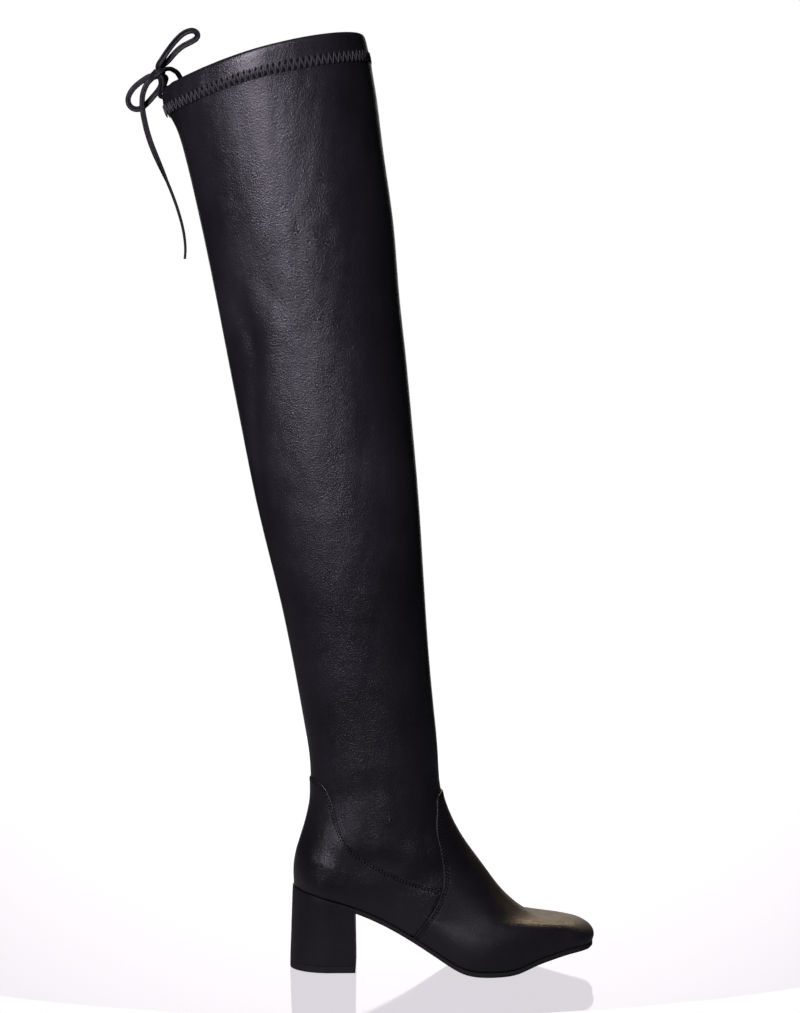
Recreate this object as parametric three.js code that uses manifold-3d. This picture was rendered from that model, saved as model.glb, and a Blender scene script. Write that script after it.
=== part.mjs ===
// Thigh high boot for the right foot: a pull-on stretch boot with a block heel, a soft square toe
// and a drawstring tied in a bow at the back of the collar.
// Millimetres, +Z up, toe towards +X, outer (lateral) side towards -Y.
// The origin is on the floor, under the middle of the heel.
import * as THREE from "three";
import { mergeVertices } from "three/addons/utils/BufferGeometryUtils.js";
import Module from "manifold-3d";

const wasm = await Module();
wasm.setup();

// Sizes of the foot
const FOOT_LENGTH = 245.5; // back of the heel to the tip of the toe
const HEEL_TO_BACK = 23.4; // middle of the heel to the back of the upper
const HEEL_HEIGHT = 68; // floor to the feather edge at the back
const TOE_SPRING = 17.5; // floor to the underside of the sole at the toe
const TOE_BOX_HEIGHT = 18.5; // feather edge to the top of the toe box
const BALL_WIDTH = 84; // widest part of the upper, at the ball
const HEEL_WIDTH = 64.5; // widest part of the upper, at the heel
const TOE_SWING = 4; // how far the toe turns towards the inner side
const COUNTER_HEIGHT = 83; // feather edge to the ankle, up the back
const COUNTER_LEAN = 13.6; // how far the back of the ankle lies ahead of the back of the heel
const ANKLE_RISE = 81; // heel seat to the front of the ankle
const ANKLE_DEPTH = 106.3; // back to front, at the ankle
const ANKLE_WIDTH = 64;

// Sizes of the shaft
const SHAFT_HEIGHT = 565.5; // ankle to collar, up the back
const SHAFT_LEAN = 116.7; // how far the back of the collar lies behind the back of the ankle
const COLLAR_DEPTH = 165.5; // back to front, at the collar
const COLLAR_WIDTH = 126;
const COLLAR_TILT = 14.8; // degrees, front of the collar up
const COLLAR_ARCH = 4; // how far the sides of the collar stand above its front and back
const SHAFT_SQUARE = 2.2; // how blunt the front of the shaft is (2 is round)

// Thicknesses and clearances
const WALL = 1.8; // shaft leather with its lining
const OVERLAY = 1; // vamp and counter, over the shaft leather
const CUFF_STEP = 0.7; // how far the hem of the collar stands out
const HEM_DEPTH = 2; // the turned-in layer of the hem
const LASTING_MARGIN = 9; // the upper's edge, turned in under the insole
const GAP = 0.3; // between pieces that touch

// Sizes of the bottom
const SOLE_THICKNESS = 4;
const SOLE_LIP = 0.9; // the sole and the heel's cover stand out past the vamp and the counter
const SOLE_ROUND = 1.4; // rounding of the sole's lower edge
const INSOLE_THICKNESS = 2.4;
const TOP_PIECE_THICKNESS = 5.5;
const HEEL_BASE_LENGTH = 54.2;
const HEEL_BASE_WIDTH = 55;
const HEEL_BREAST = 26.2; // middle of the heel to its breast, at the seat

// Drawstring
const LACE_WIDTH = 3;
const LACE_SIDES = 8;
const LACE_STEP = 2; // widths between the lace's rings
const SLOT_ROOM = 0.6; // around the lace, in the slots where it comes out of the hem
const SLOT_DEPTH = 3;
const KNOT_SEGMENTS = 12;
const KNOT_RINGS = 8;
const KNOT = { x: -131.5, y: -2, z: 728.5, length: 10, width: 9, height: 11 };

// Numbers of divisions
const RING_POINTS = 48;
const HEEL_LEVELS = 4;
const SEAM_PIECES = 24;
const CLOSE = 0.2; // share of a step within which a ring's end stands for its nearest point
const NORMAL_STEP = 0.02; // share of a level, and of a radian, over which a slope is measured
const OVERLAY_SHAFT_RINGS = 4; // rings of the shaft that the overlays' cutting form reaches up to
const CUT_MARGIN = 25; // how far a cutting outline runs past the boot
const MERGE = 1e-3; // points closer than this are one

// The last's bottom, seen from the side. along: share of the foot length from the back of the heel.
// heel: share of the heel's height above the flat of the ball. toe: share of the toe spring.
const BOTTOM = [
  { along: 0.0, heel: 1.0, toe: 0 },
  { along: 0.1, heel: 0.9, toe: 0 },
  { along: 0.21, heel: 0.77, toe: 0 },
  { along: 0.3, heel: 0.615, toe: 0 },
  { along: 0.4, heel: 0.395, toe: 0 },
  { along: 0.5, heel: 0.162, toe: 0 },
  { along: 0.55, heel: 0.055, toe: 0 },
  { along: 0.6, heel: 0, toe: 0 },
  { along: 0.72, heel: 0, toe: 0 },
  { along: 0.77, heel: 0, toe: 0.25 },
  { along: 0.87, heel: 0, toe: 0.68 },
  { along: 0.94, heel: 0, toe: 0.91 },
  { along: 1.0, heel: 0, toe: 1.0 },
];

// Sections of the foot, from the feather edge up to the ankle. Each is a closed ring that slopes from the
// back of the heel to the front, and takes one row of each of these two tables.
// inward: share of the counter lean; up: share of the counter height (the ring's back point).
// run: share of the way from ankle to toe tip; box: share of the toe box; vamp: share of the rise from
// the toe box to the ankle (the ring's front point). sag: how closely the ring follows the last's bottom.
const FOOT_PROFILE = [
  { inward: 0.05, up: 0.0, run: 0.983, box: 0.0, vamp: 0.0, sag: 1.0 },
  { inward: 0.01, up: 0.08, run: 1.0, box: 0.28, vamp: 0.0, sag: 0.93 },
  { inward: 0.0, up: 0.145, run: 0.985, box: 0.52, vamp: 0.0, sag: 0.87 },
  { inward: 0.02, up: 0.21, run: 0.94, box: 0.73, vamp: 0.0, sag: 0.8 },
  { inward: 0.08, up: 0.277, run: 0.855, box: 0.9, vamp: 0.0, sag: 0.72 },
  { inward: 0.17, up: 0.35, run: 0.66, box: 1.0, vamp: 0.005, sag: 0.6 },
  { inward: 0.3, up: 0.42, run: 0.545, box: 1.0, vamp: 0.055, sag: 0.5 },
  { inward: 0.46, up: 0.506, run: 0.4, box: 1.0, vamp: 0.2, sag: 0.4 },
  { inward: 0.64, up: 0.6, run: 0.277, box: 1.0, vamp: 0.39, sag: 0.3 },
  { inward: 0.83, up: 0.72, run: 0.162, box: 1.0, vamp: 0.57, sag: 0.2 },
  { inward: 0.98, up: 0.855, run: 0.067, box: 1.0, vamp: 0.765, sag: 0.1 },
  { inward: 1.0, up: 1.0, run: 0.0, box: 1.0, vamp: 1.0, sag: 0.0 },
];

// heel, waist: shares of the heel width; ball, toe: shares of the ball width, each at its station.
// ankle: share of the ankle's width in the mix. back, front: shares of the ring's length taken by its
// round ends; square: how square the toe is (2 is round).
const FOOT_WIDTHS = [
  { heel: 0.885, waist: 0.84, ball: 0.93, toe: 0.66, ankle: 0.0, back: 0.12, front: 0.13, square: 2.6 },
  { heel: 0.965, waist: 0.895, ball: 0.98, toe: 0.7, ankle: 0.0, back: 0.125, front: 0.13, square: 2.6 },
  { heel: 0.995, waist: 0.935, ball: 1.0, toe: 0.7, ankle: 0.0, back: 0.13, front: 0.135, square: 2.6 },
  { heel: 1.0, waist: 0.965, ball: 0.99, toe: 0.68, ankle: 0.0, back: 0.135, front: 0.145, square: 2.6 },
  { heel: 1.0, waist: 0.985, ball: 0.955, toe: 0.65, ankle: 0.02, back: 0.145, front: 0.17, square: 2.5 },
  { heel: 0.99, waist: 1.005, ball: 0.89, toe: 0.65, ankle: 0.08, back: 0.16, front: 0.21, square: 2.5 },
  { heel: 0.97, waist: 1.02, ball: 0.84, toe: 0.63, ankle: 0.16, back: 0.18, front: 0.27, square: 2.4 },
  { heel: 0.95, waist: 1.03, ball: 0.79, toe: 0.62, ankle: 0.3, back: 0.22, front: 0.33, square: 2.3 },
  { heel: 0.93, waist: 1.035, ball: 0.765, toe: 0.63, ankle: 0.48, back: 0.28, front: 0.38, square: 2.2 },
  { heel: 0.93, waist: 1.035, ball: 0.76, toe: 0.66, ankle: 0.66, back: 0.36, front: 0.43, square: 2.2 },
  { heel: 0.97, waist: 1.02, ball: 0.76, toe: 0.7, ankle: 0.84, back: 0.44, front: 0.47, square: 2.2 },
  { heel: 1.0, waist: 1.0, ball: 0.76, toe: 0.8, ankle: 1.0, back: 0.5, front: 0.5, square: 2.2 },
];

// Sections of the shaft, from above the ankle up to the collar.
// up: share of the shaft height; lean: share of the shaft lean (the ring's back point).
// depth, width: shares of the way from the ankle's to the collar's; tilt, arch: shares of the collar's.
// point: how pointed the ring's back is, where the drawstring gathers it (2 is round).
// cuff: share of the hem's step.
const SHAFT_ROWS = [
  { up: 0.042, lean: 0.009, depth: -0.015, width: 0.015, tilt: 0.04, arch: 0, point: 2, cuff: 0 },
  { up: 0.095, lean: 0.05, depth: 0.015, width: 0.065, tilt: 0.18, arch: 0, point: 2, cuff: 0 },
  { up: 0.174, lean: 0.118, depth: 0.077, width: 0.16, tilt: 0.32, arch: 0, point: 2, cuff: 0 },
  { up: 0.279, lean: 0.222, depth: 0.218, width: 0.32, tilt: 0.46, arch: 0, point: 2, cuff: 0 },
  { up: 0.384, lean: 0.345, depth: 0.4, width: 0.45, tilt: 0.57, arch: 0, point: 2, cuff: 0 },
  { up: 0.489, lean: 0.451, depth: 0.523, width: 0.52, tilt: 0.61, arch: 0, point: 2, cuff: 0 },
  { up: 0.586, lean: 0.544, depth: 0.62, width: 0.58, tilt: 0.64, arch: 0, point: 2, cuff: 0 },
  { up: 0.674, lean: 0.623, depth: 0.685, width: 0.66, tilt: 0.65, arch: 0, point: 2, cuff: 0 },
  { up: 0.761, lean: 0.706, depth: 0.785, width: 0.76, tilt: 0.67, arch: 0.1, point: 2, cuff: 0 },
  { up: 0.849, lean: 0.797, depth: 0.845, width: 0.855, tilt: 0.72, arch: 0.3, point: 2, cuff: 0 },
  { up: 0.919, lean: 0.88, depth: 0.93, width: 0.935, tilt: 0.8, arch: 0.6, point: 1.95, cuff: 0 },
  { up: 0.949, lean: 0.935, depth: 0.995, width: 0.97, tilt: 0.88, arch: 0.85, point: 1.85, cuff: 0 },
  { up: 0.965, lean: 0.985, depth: 1.075, width: 1.0, tilt: 0.95, arch: 1, point: 1.75, cuff: 0 },
  { up: 0.969, lean: 1.0, depth: 1.085, width: 1.01, tilt: 0.97, arch: 1, point: 1.72, cuff: 1 },
  { up: 0.985, lean: 1.012, depth: 1.07, width: 1.015, tilt: 0.99, arch: 1, point: 1.7, cuff: 1 },
  { up: 1.0, lean: 1.0, depth: 1.0, width: 1.0, tilt: 1.0, arch: 1, point: 1.7, cuff: 1 },
];

// Seams seen from the side. along: share of the foot length from the back of the heel.
// up: share of the height from the floor to the back of the ankle.
const VAMP_SEAM = [
  { along: 0.53, up: 0.985 },
  { along: 0.48, up: 0.955 },
  { along: 0.475, up: 0.87 },
  { along: 0.473, up: 0.77 },
  { along: 0.487, up: 0.66 },
  { along: 0.497, up: 0.55 },
  { along: 0.494, up: 0.47 },
  { along: 0.467, up: 0.36 },
  { along: 0.425, up: 0.26 },
  { along: 0.38, up: 0.16 },
];
const COUNTER_SEAM = [
  { along: -0.05, up: 1.045 },
  { along: 0.055, up: 1.045 },
  { along: 0.1, up: 1.01 },
  { along: 0.128, up: 0.93 },
  { along: 0.147, up: 0.82 },
  { along: 0.18, up: 0.71 },
  { along: 0.235, up: 0.635 },
  { along: 0.31, up: 0.565 },
  { along: 0.39, up: 0.51 },
  { along: 0.5, up: 0.46 },
];

// Routes of the drawstring. Both ends come out of slots at the back of the hem and meet in the knot.
const ROUTES = {
  lace_strand_near: [
    [-129, -5.3, 724.9], [-128.2, -6.8, 722.6], [-127.9, -8.6, 719.4], [-128.7, -10.2, 715.6],
    [-129.4, -10.9, 712.4], [-129, -10.5, 710], [-126.9, -9.5, 709.2], [-124.8, -8.7, 709.1],
  ],
  lace_strand_far: [
    [-127.4, 1.2, 727.1], [-125.9, 2.9, 726], [-126.6, 6.5, 724.2], [-127.9, 10.5, 721.4],
    [-127.4, 15, 718.9], [-125.7, 19.8, 716.9], [-123.9, 24, 714.9], [-122.4, 26.4, 712.9],
    [-120.6, 25.9, 711.2], [-117.6, 23.5, 711],
  ],
  bow_loop_upper: [
    [-131.2, -4.6, 733.7], [-130.6, -5.3, 735.9], [-128, -4.8, 740], [-124, -4, 746.2],
    [-119.8, -3.4, 751.9], [-115.6, -3, 756.7], [-111.5, -3, 760.3], [-107.4, -3, 762.4],
    [-103.6, -3, 763], [-100.8, -2.6, 761.8], [-99.6, -2, 759.4], [-100.9, -1.2, 756.9],
    [-104, -0.6, 754.9], [-107.6, -0.4, 753.1], [-111.6, -0.4, 751], [-115.4, -0.3, 748.2],
    [-119.4, 0, 744.2], [-123, 0.9, 740.2], [-126.4, 1.8, 737.2], [-129.2, 2.3, 735.4],
    [-130.6, 1.1, 733.2],
  ],
  bow_loop_lower: [
    [-137.1, -1.4, 727], [-139.6, -1.1, 726.2], [-143.4, -0.8, 724], [-147.6, -0.6, 721],
    [-151.6, -0.4, 717.4], [-154.5, -0.2, 713.4], [-156.1, 0, 709.2], [-155.8, 0.2, 705.2],
    [-153.5, 0.4, 702], [-149.8, 0.5, 700.6], [-145.9, 0.6, 701.4], [-142, 0.7, 704.4],
    [-138.3, 0.8, 708.2], [-134.6, 0.9, 712.4], [-131.4, 1, 716.4], [-129.6, 0.9, 719.9],
    [-129.4, 0.2, 723.1],
  ],
  lace_end_near: [
    [-135.1, -5.1, 725.7], [-137.2, -6.6, 723.6], [-139.8, -7.2, 720.6], [-142.2, -7, 716],
    [-143.8, -6.6, 710.6], [-144.2, -6.2, 704.6], [-143.8, -5.8, 698.6], [-142.4, -5.4, 690.6],
    [-140.4, -5, 682], [-137.8, -4.7, 673.6], [-134.7, -4.4, 665.4], [-131.2, -4.2, 657.2],
    [-127.6, -4, 649], [-124.1, -3.8, 640.8], [-120.8, -3.6, 632.6], [-117.8, -3.4, 624.4],
    [-115.2, -3.3, 616.2], [-113, -3.2, 608.2], [-111.4, -3.1, 600.2], [-110.5, -3, 592.8],
    [-110.3, -3, 586.2], [-110.8, -3, 580],
  ],
  lace_end_far: [
    [-126.9, -1.1, 731.7], [-124.9, 0.2, 732.8], [-122, 3.6, 733.2], [-119.4, 9, 732.4],
    [-117.6, 15, 731.2], [-116.4, 21, 729.2], [-115.8, 26, 727.4], [-115.6, 31, 724.8],
    [-115, 34.2, 719.6], [-113.4, 34.6, 712.5], [-111.2, 36.2, 705.4], [-107.4, 36.8, 699.6],
    [-104.2, 36, 693.6], [-102.4, 36.2, 687], [-99.6, 37, 679.5], [-96.8, 37.2, 669.7],
    [-93.6, 38.2, 659.6], [-90.4, 38.3, 647.6], [-87.5, 38.3, 635.6], [-84.5, 38.3, 623.6],
    [-81.5, 38.3, 611.6], [-79.4, 37.9, 600], [-77, 37.9, 589.6], [-75.8, 37.4, 581],
  ],
};

// Values that follow from the sizes
const HEEL_BACK_X = -HEEL_TO_BACK;
const TOE_X = HEEL_BACK_X + FOOT_LENGTH;
const ANKLE_BACK = { x: HEEL_BACK_X + COUNTER_LEAN, z: HEEL_HEIGHT + COUNTER_HEIGHT };
const ANKLE_FRONT = { x: ANKLE_BACK.x + ANKLE_DEPTH, z: HEEL_HEIGHT + ANKLE_RISE };
const TOE_Z = SOLE_THICKNESS + GAP + TOE_SPRING;
const TOE_BOX_Z = TOE_Z + TOE_BOX_HEIGHT;

const mix = (a, b, t) => a + (b - a) * t;

// A smooth curve through (xs, ys) that never swings past its points, so that a flat stays flat.
function smooth(xs, ys, x) {
  const last = xs.length - 1;
  if (x <= xs[0]) return ys[0];
  if (x >= xs[last]) return ys[last];
  let i = 0;
  while (x > xs[i + 1]) i += 1;
  const slope = (k) => (ys[k + 1] - ys[k]) / (xs[k + 1] - xs[k]);
  const tangent = (k) => {
    if (k === 0) return slope(0);
    if (k === last) return slope(last - 1);
    const before = slope(k - 1);
    const after = slope(k);
    return before * after <= 0 ? 0 : (2 * before * after) / (before + after);
  };
  const h = xs[i + 1] - xs[i];
  const t = (x - xs[i]) / h;
  const t2 = t * t;
  const t3 = t2 * t;
  return (
    (2 * t3 - 3 * t2 + 1) * ys[i] +
    (t3 - 2 * t2 + t) * h * tangent(i) +
    (3 * t2 - 2 * t3) * ys[i + 1] +
    (t3 - t2) * h * tangent(i + 1)
  );
}

const column = (rows, name) => rows.map((row) => row[name]);

// Stations of heel, waist, ball and toe, as shares of the foot length from the back of the heel
const STATIONS = [0.1, 0.36, 0.63, 0.9];
const alongFoot = (x) => (x - HEEL_BACK_X) / FOOT_LENGTH;

// Height of the feather edge, where upper and sole meet, at a distance x from the middle of the heel.
function featherZ(x) {
  const heel = smooth(column(BOTTOM, "along"), column(BOTTOM, "heel"), alongFoot(x));
  const toe = smooth(column(BOTTOM, "along"), column(BOTTOM, "toe"), alongFoot(x));
  const base = SOLE_THICKNESS + GAP;
  return base + heel * (HEEL_HEIGHT - base) + toe * TOE_SPRING;
}

// The sections as rings in real sizes, all with the same columns.
function footRing(row, index) {
  const widths = FOOT_WIDTHS[index];
  const half = (share, width) => mix((share * width) / 2, ANKLE_WIDTH / 2, widths.ankle);
  return {
    backX: HEEL_BACK_X + row.inward * COUNTER_LEAN,
    backZ: HEEL_HEIGHT + row.up * COUNTER_HEIGHT,
    frontX: mix(ANKLE_FRONT.x, TOE_X, row.run),
    frontZ: TOE_Z + row.box * TOE_BOX_HEIGHT + row.vamp * (ANKLE_FRONT.z - TOE_BOX_Z),
    heel: half(widths.heel, HEEL_WIDTH),
    waist: half(widths.waist, HEEL_WIDTH),
    ball: half(widths.ball, BALL_WIDTH),
    toe: half(widths.toe, BALL_WIDTH),
    backRound: widths.back,
    frontRound: widths.front,
    square: widths.square,
    point: 2,
    sag: row.sag,
    arch: 0,
    cuff: 0,
  };
}

function shaftRing(row) {
  const depth = mix(ANKLE_DEPTH, COLLAR_DEPTH, row.depth);
  const width = mix(ANKLE_WIDTH, COLLAR_WIDTH, row.width);
  const tilt = THREE.MathUtils.degToRad(row.tilt * COLLAR_TILT);
  const backX = ANKLE_BACK.x - row.lean * SHAFT_LEAN;
  const backZ = ANKLE_BACK.z + row.up * SHAFT_HEIGHT;
  return {
    backX,
    backZ,
    frontX: backX + depth * Math.cos(tilt),
    frontZ: backZ + depth * Math.sin(tilt),
    heel: width / 2,
    waist: width / 2,
    ball: width / 2,
    toe: width / 2,
    backRound: 0.5,
    frontRound: 0.5,
    square: SHAFT_SQUARE,
    point: row.point,
    sag: 0,
    arch: row.arch * COLLAR_ARCH,
    cuff: row.cuff,
  };
}

const RINGS = [...FOOT_PROFILE.map(footRing), ...SHAFT_ROWS.map(shaftRing)];
const LEVELS = RINGS.map((_, i) => i);
const COLLAR_LEVEL = RINGS.length - 1;
const CUFF_LEVEL = COLLAR_LEVEL - SHAFT_ROWS.filter((row) => row.cuff > 0).length + 1;

function ringAt(level) {
  const ring = {};
  for (const name of Object.keys(RINGS[0])) ring[name] = smooth(LEVELS, column(RINGS, name), level);
  return ring;
}

// Half the width of a ring at share q of its length, 0 at the back and 1 at the front.
const roundEnd = (t, power) => (t >= 1 ? 1 : (1 - (1 - t) ** power) ** (1 / power));
function halfWidth(ring, q) {
  const widths = [ring.heel, ring.waist, ring.ball, ring.toe];
  const back = roundEnd(q / ring.backRound, ring.point);
  const front = roundEnd((1 - q) / ring.frontRound, ring.square);
  return smooth(STATIONS, widths, alongFoot(mix(ring.backX, ring.frontX, q))) * back * front;
}

// The last's own curve to the inner side, for a right foot.
const SWING_SHARES = [0, 0, -0.45, 0.9];
const swing = (x) => TOE_SWING * smooth(STATIONS, SWING_SHARES, alongFoot(x));

// A point of the form. turn: 0 at the back, pi at the front, outer side first.
function onForm(level, turn) {
  const ring = ringAt(level);
  const feather = RINGS[0];
  const q = (1 - Math.cos(turn)) / 2;
  const side = Math.sin(turn) > 0 ? -1 : 1;
  const x = mix(ring.backX, ring.frontX, q);
  const half = halfWidth(ring, q);
  const sag = mix(feather.backZ, feather.frontZ, q) - featherZ(mix(feather.backX, feather.frontX, q));
  const rise = ring.arch * (half / ring.waist) ** 2;
  return new THREE.Vector3(
    x,
    ring.sag * swing(x) + side * half,
    mix(ring.backZ, ring.frontZ, q) - ring.sag * sag + rise,
  );
}

// The same point moved out along the form's normal.
function offForm(level, turn, distance) {
  const low = Math.max(level - NORMAL_STEP, 0);
  const high = Math.min(level + NORMAL_STEP, COLLAR_LEVEL);
  const along = onForm(level, turn + NORMAL_STEP).sub(onForm(level, turn - NORMAL_STEP));
  const upward = onForm(high, turn).sub(onForm(low, turn));
  const normal = along.cross(upward).normalize();
  return onForm(level, turn).addScaledVector(normal, distance);
}

const TURNS = Array.from({ length: RING_POINTS }, (_, j) => (2 * Math.PI * j) / RING_POINTS);
const formRing = (level, distance) => TURNS.map((turn) => offForm(level, turn, distance));

// The feather edge in plan, moved out by a distance, at a height above the last's bottom. The long sides
// move straight sideways, so that the pieces which meet there share their stations.
const LONG_SIDE = 0.7;
function featherPoint(turn, distance, height) {
  const tangent = onForm(0, turn + NORMAL_STEP).sub(onForm(0, turn - NORMAL_STEP));
  const outward = new THREE.Vector3(tangent.y, -tangent.x, 0).normalize();
  const point = onForm(0, turn);
  if (Math.abs(outward.y) > LONG_SIDE) point.y += distance / outward.y;
  else point.addScaledVector(outward, distance);
  point.z = featherZ(point.x) + height;
  return point;
}
const featherRing = (distance, height) => TURNS.map((turn) => featherPoint(turn, distance, height));

// Joins rings of points into a closed surface. Each ring runs counter-clockwise seen from above.
// closed: the last ring joins the first, as in a wall. Otherwise both ends get a cap.
function skin(rings, closed) {
  const count = rings[0].length;
  const faces = [];
  const at = (i, j) => (i % rings.length) * count + (j % count);
  for (let i = 0; i < (closed ? rings.length : rings.length - 1); i += 1) {
    for (let j = 0; j < count; j += 1) {
      faces.push([at(i, j), at(i, j + 1), at(i + 1, j + 1)]);
      faces.push([at(i, j), at(i + 1, j + 1), at(i + 1, j)]);
    }
  }
  if (!closed) {
    const first = 0;
    const last = rings.length - 1;
    for (let a = 0, b = count - 1; b - a > 1; ) {
      for (const [i, flip] of [[first, true], [last, false]]) {
        const strip = [[at(i, a), at(i, a + 1), at(i, b)]];
        if (b - a > 2) strip.push([at(i, a + 1), at(i, b - 1), at(i, b)]);
        for (const face of strip) faces.push(flip ? face.reverse() : face);
      }
      a += 1;
      b -= 1;
    }
  }
  const geometry = new THREE.BufferGeometry();
  const places = rings.flat().flatMap((p) => [p.x, p.y, p.z]);
  geometry.setAttribute("position", new THREE.Float32BufferAttribute(places, 3));
  geometry.setIndex(faces.flat());
  return geometry;
}

// A geometry's solid, for joining and cutting.
function solid(geometry) {
  const bare = geometry.clone();
  for (const name of Object.keys(bare.attributes)) if (name !== "position") bare.deleteAttribute(name);
  const merged = mergeVertices(bare, MERGE);
  return new wasm.Manifold(
    new wasm.Mesh({
      numProp: 3,
      vertProperties: merged.attributes.position.array,
      triVerts: new Uint32Array(merged.index.array),
    }),
  );
}

// The geometry of a solid that has been joined or cut.
function geometryOf(manifold) {
  const mesh = manifold.getMesh();
  const geometry = new THREE.BufferGeometry();
  geometry.setAttribute("position", new THREE.BufferAttribute(mesh.vertProperties, 3));
  geometry.setIndex(new THREE.BufferAttribute(mesh.triVerts, 1));
  return geometry;
}

// Slot in the hem, along the last stretch of a strand of the drawstring.
function slot(route) {
  const [before, end] = route.slice(-2).map((p) => new THREE.Vector3(...p));
  const inward = end.clone().sub(before).normalize();
  const radius = LACE_WIDTH / 2 + SLOT_ROOM;
  const hole = new THREE.CylinderGeometry(radius, radius, 2 * SLOT_DEPTH, LACE_SIDES);
  hole.applyQuaternion(new THREE.Quaternion().setFromUnitVectors(new THREE.Vector3(0, 1, 0), inward));
  const middle = end.clone().addScaledVector(inward, SLOT_ROOM - SLOT_DEPTH);
  hole.translate(middle.x, middle.y, middle.z);
  return solid(hole);
}

// Upper: one hollow wall, open at the collar and underneath, with its edge turned in under the insole.
function upper() {
  const above = LEVELS.slice(1);
  const outer = above.map((level) => formRing(level, level >= CUFF_LEVEL ? CUFF_STEP : 0));
  const inner = above.map((level) => formRing(level, level >= CUFF_LEVEL ? -WALL - HEM_DEPTH : -WALL));
  const margin = [
    featherRing(-WALL, WALL),
    featherRing(-WALL - LASTING_MARGIN, WALL),
    featherRing(-WALL - LASTING_MARGIN, 0),
  ];
  const wall = solid(skin([featherRing(0, 0), ...outer, ...inner.reverse(), ...margin], true));
  return geometryOf(wall.subtract(slot(ROUTES.lace_strand_near)).subtract(slot(ROUTES.lace_strand_far)));
}

// A form that stands out from the foot by a distance and reaches below its feather edge, for cutting the
// overlays.
function footForm(distance, below) {
  const levels = LEVELS.slice(1, FOOT_PROFILE.length + OVERLAY_SHAFT_RINGS);
  const rings = levels.map((level) => formRing(level, distance));
  const foot = below > 0 ? [featherRing(distance, -below)] : [];
  return solid(skin([...foot, featherRing(distance, 0), ...rings], false));
}

// A side-view outline, pushed through the boot from side to side.
function sidePrism(points) {
  const shape = new THREE.Shape(points.map(([x, z]) => new THREE.Vector2(x, z)));
  const reach = BALL_WIDTH / 2 + CUT_MARGIN;
  const prism = new THREE.ExtrudeGeometry(shape, { depth: 2 * reach, bevelEnabled: false });
  prism.rotateX(Math.PI / 2);
  prism.translate(0, reach, 0);
  return solid(prism);
}

// A seam as a smooth line of [x, z] points.
function smoothSeam(rows) {
  const places = rows.map((row) => [HEEL_BACK_X + row.along * FOOT_LENGTH, row.up * ANKLE_BACK.z]);
  const curve = new THREE.SplineCurve(places.map(([x, z]) => new THREE.Vector2(x, z)));
  return curve.getPoints(SEAM_PIECES).map((p) => [p.x, p.y]);
}

// What the vamp covers in the side view, with its seam moved back by a distance.
function vampPrism(back) {
  const seam = smoothSeam(VAMP_SEAM).map(([x, z]) => [x - back, z]);
  const top = seam[0];
  const bottom = seam.at(-1);
  const ahead = TOE_X + CUT_MARGIN;
  return sidePrism([...seam, [bottom[0], -CUT_MARGIN], [ahead, -CUT_MARGIN], [ahead, top[1]]]);
}

// What the counter covers in the side view, before the vamp's share comes off.
function counterPrism() {
  const seam = smoothSeam(COUNTER_SEAM);
  const top = seam[0];
  const end = seam.at(-1);
  const behind = HEEL_BACK_X - CUT_MARGIN;
  return sidePrism([...seam, [end[0], -CUT_MARGIN], [behind, -CUT_MARGIN], [behind, top[1]]]);
}

const OVERLAY_SKIN = footForm(GAP + OVERLAY, 0).subtract(footForm(GAP, SOLE_THICKNESS));

// Vamp: covers the toe and the instep, back to its curved seam.
function vamp() {
  return geometryOf(OVERLAY_SKIN.intersect(vampPrism(0)));
}

// Counter: covers the heel and runs forward to the vamp's seam.
function counter() {
  return geometryOf(OVERLAY_SKIN.intersect(counterPrism()).subtract(vampPrism(GAP)));
}

// Insole: lies inside on the turned-in edge of the upper.
function insole() {
  const inside = -WALL - GAP;
  const base = WALL + GAP;
  return skin([featherRing(inside, base), featherRing(inside, base + INSOLE_THICKNESS)], false);
}

// Turns of the feather edge between two turns: the ends, and every whole step of the ring between them.
const FEATHER = RINGS[0];
const BREAST_SHARE = (HEEL_BREAST - FEATHER.backX) / (FEATHER.frontX - FEATHER.backX);
const BREAST_TURN = Math.acos(1 - 2 * BREAST_SHARE);
const TURN_STEP = (2 * Math.PI) / RING_POINTS;
function turnsBetween(from, to, step) {
  const first = Math.ceil(from / step + CLOSE);
  const last = Math.floor(to / step - CLOSE);
  return [from, ...Array.from({ length: last - first + 1 }, (_, j) => (first + j) * step), to];
}

// Outsole: from the heel's breast to the toe, following the last's arch and toe spring.
function outsole() {
  const turns = turnsBetween(BREAST_TURN, 2 * Math.PI - BREAST_TURN, TURN_STEP);
  const lip = GAP + OVERLAY + SOLE_LIP;
  const top = -GAP;
  const under = top - SOLE_THICKNESS;
  const forward = HEEL_BREAST + GAP;
  const edge = (distance, height) =>
    turns.map((turn) => {
      const point = featherPoint(turn, distance, height);
      if (point.x < forward) {
        point.x = forward;
        point.z = featherZ(forward) + height;
      }
      return point;
    });
  const rings = [edge(lip - SOLE_ROUND, under), edge(lip, under + SOLE_ROUND), edge(lip, top)];
  return skin(rings, false);
}

// Outline of the heel: share 0 at the floor, 1 at the seat.
function heelRing(share, height) {
  const seatLip = GAP + OVERLAY + SOLE_LIP;
  const seatLength = HEEL_BREAST - FEATHER.backX + seatLip;
  const seatWidth = 2 * (FEATHER.heel + seatLip);
  return turnsBetween(-BREAST_TURN, BREAST_TURN, TURN_STEP / 2).map((turn) => {
    const seat = featherPoint(turn, seatLip, 0);
    const seatX = Math.min(seat.x, HEEL_BREAST);
    const baseX = HEEL_BASE_LENGTH * ((seatX - HEEL_BREAST) / seatLength + 0.5);
    const baseY = (seat.y * HEEL_BASE_WIDTH) / seatWidth;
    return new THREE.Vector3(mix(baseX, seatX, share), mix(baseY, seat.y, share), height(seatX));
  });
}

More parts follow.
